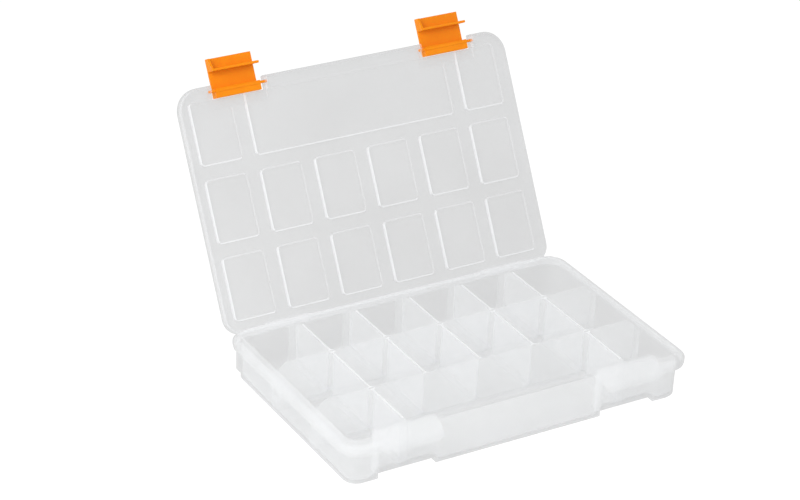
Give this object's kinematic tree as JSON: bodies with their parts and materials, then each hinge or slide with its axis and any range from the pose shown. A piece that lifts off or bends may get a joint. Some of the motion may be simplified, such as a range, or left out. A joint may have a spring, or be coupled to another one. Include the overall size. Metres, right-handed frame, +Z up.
{
  "type": "compartment organizer box",
  "caption": "Flat organizer box with open compartments for beads and craft parts, a hinged lid with ribbed underside and swinging front latches.",
  "frame": {"origin": "centre of the tray's flat underside, on the table", "axes": "+X along the length to the right, +Y from the latches to the hinge, +Z up"},
  "size_m": [0.279, 0.2817, 0.1966],
  "materials": {
    "tray_plastic": "translucent",
    "lid_plastic": "translucent",
    "latch_plastic": "satin"
  },
  "bodies": {
    "tray_body": {"tray": "tray_plastic", "cross_wall_rear": "tray_plastic", "cross_wall_front": "tray_plastic", "divider_rear_1": "tray_plastic", "divider_rear_2": "tray_plastic", "divider_rear_3": "tray_plastic", "divider_rear_4": "tray_plastic", "divider_rear_5": "tray_plastic", "divider_middle_1": "tray_plastic", "divider_middle_2": "tray_plastic", "divider_middle_3": "tray_plastic", "divider_middle_4": "tray_plastic", "divider_middle_5": "tray_plastic", "divider_front_1": "tray_plastic", "divider_front_5": "tray_plastic"},
    "lid_body": {"lid": "lid_plastic"},
    "latch_left_body": {"latch_left": "latch_plastic"},
    "latch_right_body": {"latch_right": "latch_plastic"}
  },
  "joints": [
    {"name": "lid_hinge", "type": "hinge", "parent": "tray_body", "child": "lid_body", "pos_m": [0, 0.0868, 0.02985], "axis": [1, 0, 0], "range_deg": [0, 119]},
    {"name": "latch_left_hinge", "type": "hinge", "parent": "lid_body", "child": "latch_left_body", "pos_m": [-0.0866, 0.17484, 0.17702], "axis": [1, 0, 0], "range_deg": [0, 90]},
    {"name": "latch_right_hinge", "type": "hinge", "parent": "lid_body", "child": "latch_right_body", "pos_m": [0.0866, 0.17484, 0.17702], "axis": [1, 0, 0], "range_deg": [0, 90]}
  ]
}
